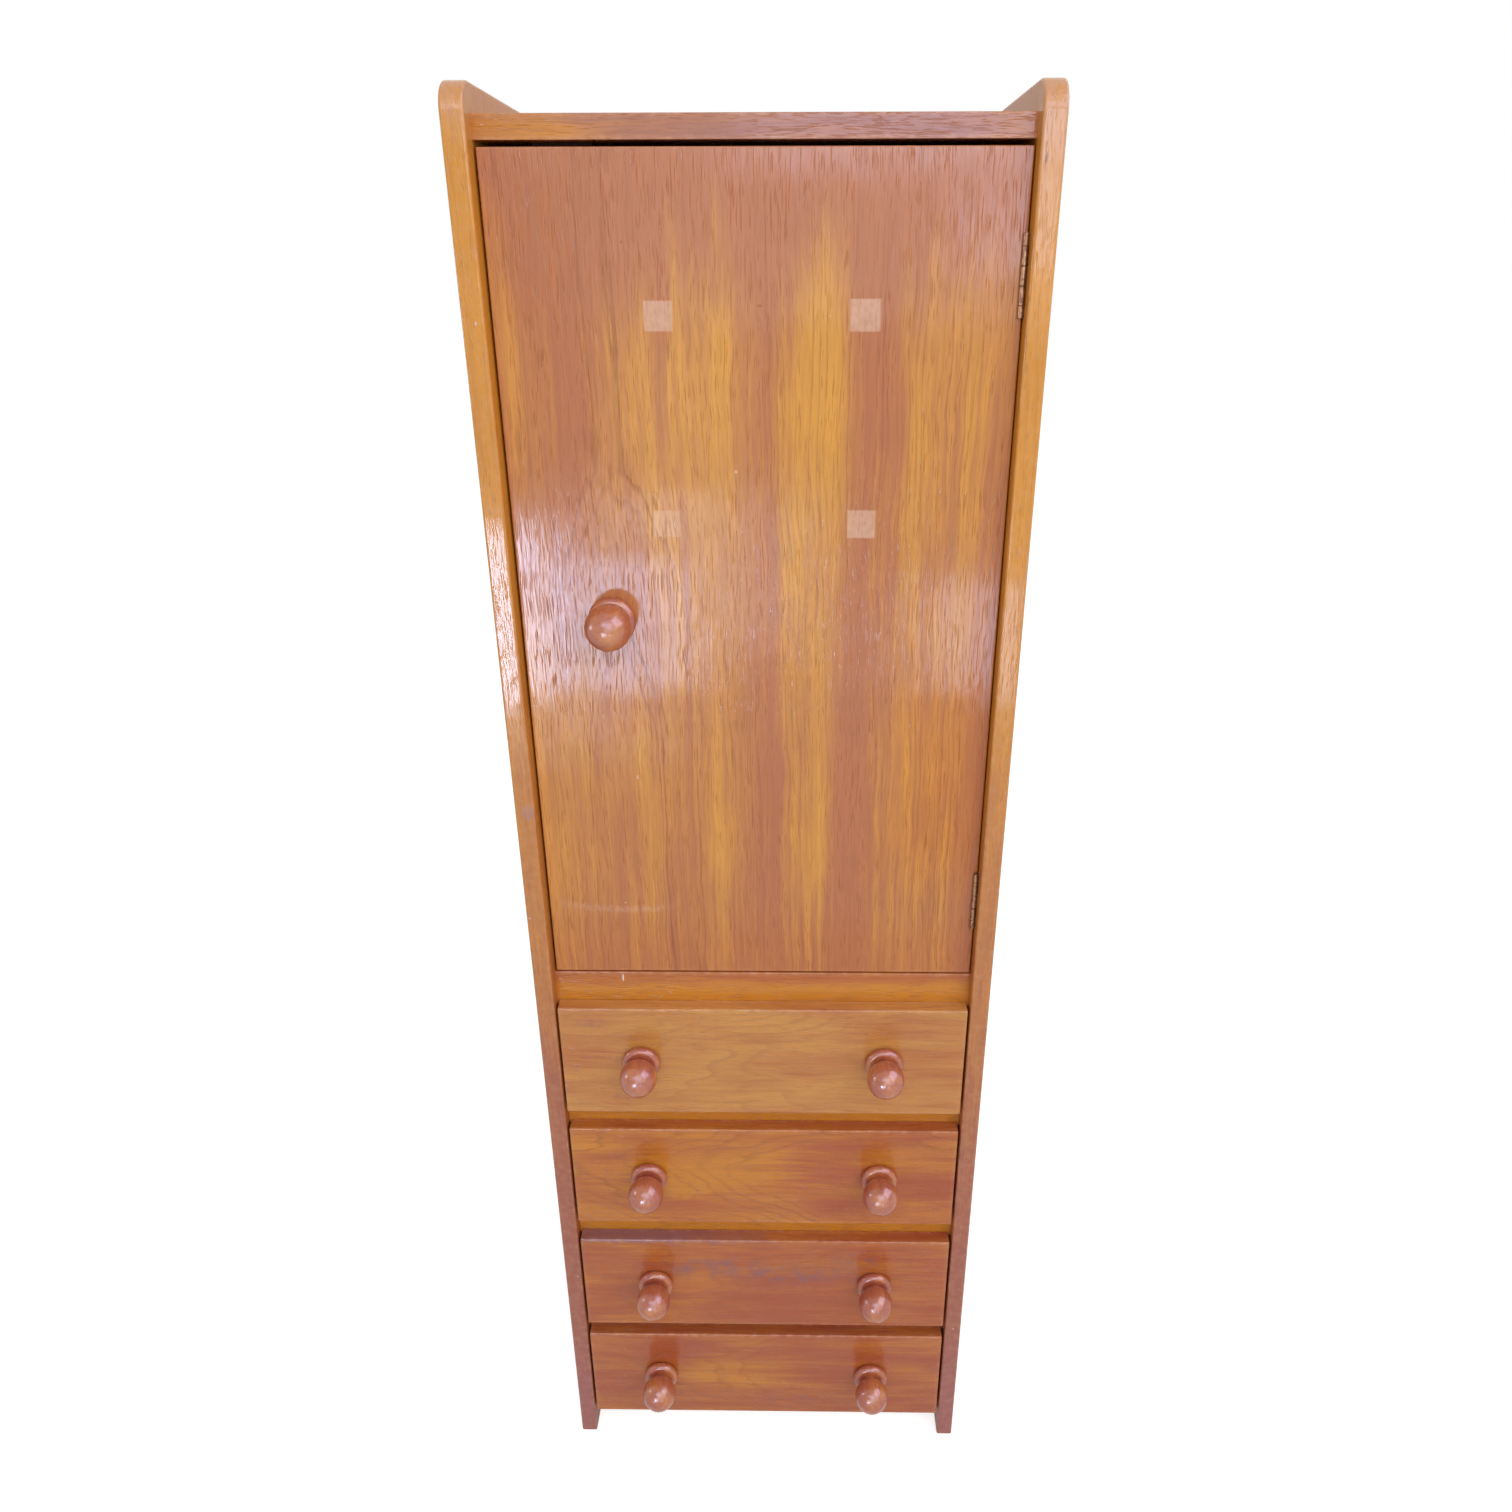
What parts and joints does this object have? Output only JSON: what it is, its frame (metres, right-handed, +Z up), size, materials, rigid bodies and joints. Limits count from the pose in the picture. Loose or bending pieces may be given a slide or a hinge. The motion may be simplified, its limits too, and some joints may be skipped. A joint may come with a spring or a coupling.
{
  "type": "chifforobe",
  "caption": "Tall narrow wooden cabinet: a hinged door closes a hanging cupboard over a stack of drawers, with turned knobs and side panels that form the feet.",
  "frame": {"origin": "on the floor, at the centre of the plan outline with the drawer knobs included", "axes": "+Z up, -Y towards the front with the door and the drawers, +X towards the hinged side of the door"},
  "size_m": [0.52, 0.5024, 1.652],
  "materials": {
    "side_timber": "glossy lacquer over honey-coloured timber",
    "rail_timber": "glossy lacquer over red-brown timber",
    "door_timber": "glossy lacquer over streaked pink-brown and golden timber, grain upright",
    "drawer_timber": "glossy lacquer over red-brown and golden timber, grain level",
    "turned_timber": "glossy lacquer over turned red-brown timber",
    "inner_board": "satin sealed timber",
    "box_timber": "plain satin timber",
    "runner_timber": "bare hardwood, waxed",
    "thin_panel": "smooth thin board",
    "aged_brass": "dull, aged",
    "bright_steel": "polished",
    "plain_steel": "zinc plated",
    "catch_plastic": "brown, matt"
  },
  "bodies": {
    "case": {"side_left": "side_timber", "side_right": "side_timber", "top_board": "rail_timber", "cupboard_floor": "inner_board", "bottom_board": "inner_board", "mid_rail": "rail_timber", "drawer_rail_1": "rail_timber", "drawer_rail_2": "rail_timber", "drawer_rail_3": "rail_timber", "back_panel": "thin_panel", "back_panel_nails": "plain_steel", "drawer_runners_1": "runner_timber", "drawer_runners_2": "runner_timber", "drawer_runners_3": "runner_timber", "drawer_runners_4": "runner_timber", "case_screws": "plain_steel", "clothes_rail": "bright_steel", "rail_socket_left": "bright_steel", "rail_socket_right": "bright_steel", "door_catch": "catch_plastic", "hinge_upper_frame_leaf": "aged_brass", "hinge_lower_frame_leaf": "aged_brass", "hinge_pins": "aged_brass", "frame_hinge_screws": "aged_brass"},
    "door": {"door": "door_timber", "door_knob": "turned_timber", "door_knob_screw": "plain_steel", "strike_plate": "plain_steel", "strike_plate_screws": "plain_steel", "hinge_upper_door_leaf": "aged_brass", "hinge_lower_door_leaf": "aged_brass", "door_hinge_screws": "aged_brass"},
    "drawer_1": {"drawer_1_front": "drawer_timber", "drawer_1_side_left": "box_timber", "drawer_1_side_right": "box_timber", "drawer_1_back": "box_timber", "drawer_1_bottom": "thin_panel", "drawer_1_knobs": "turned_timber", "drawer_1_knob_screws": "plain_steel"},
    "drawer_2": {"drawer_2_front": "drawer_timber", "drawer_2_side_left": "box_timber", "drawer_2_side_right": "box_timber", "drawer_2_back": "box_timber", "drawer_2_bottom": "thin_panel", "drawer_2_knobs": "turned_timber", "drawer_2_knob_screws": "plain_steel"},
    "drawer_3": {"drawer_3_front": "drawer_timber", "drawer_3_side_left": "box_timber", "drawer_3_side_right": "box_timber", "drawer_3_back": "box_timber", "drawer_3_bottom": "thin_panel", "drawer_3_knobs": "turned_timber", "drawer_3_knob_screws": "plain_steel"},
    "drawer_4": {"drawer_4_front": "drawer_timber", "drawer_4_side_left": "box_timber", "drawer_4_side_right": "box_timber", "drawer_4_back": "box_timber", "drawer_4_bottom": "thin_panel", "drawer_4_knobs": "turned_timber", "drawer_4_knob_screws": "plain_steel"}
  },
  "joints": [
    {"name": "door_hinge", "type": "hinge", "parent": "case", "child": "door", "pos_m": [0.2358, -0.18375, 1.1835], "axis": [0, 0, 1], "range_deg": [0, 110]},
    {"name": "drawer_1_slide", "type": "slide", "parent": "case", "child": "drawer_1", "axis": [0, -1, 0], "range_m": [0, 0.3]},
    {"name": "drawer_2_slide", "type": "slide", "parent": "case", "child": "drawer_2", "axis": [0, -1, 0], "range_m": [0, 0.3]},
    {"name": "drawer_3_slide", "type": "slide", "parent": "case", "child": "drawer_3", "axis": [0, -1, 0], "range_m": [0, 0.3]},
    {"name": "drawer_4_slide", "type": "slide", "parent": "case", "child": "drawer_4", "axis": [0, -1, 0], "range_m": [0, 0.3]}
  ]
}
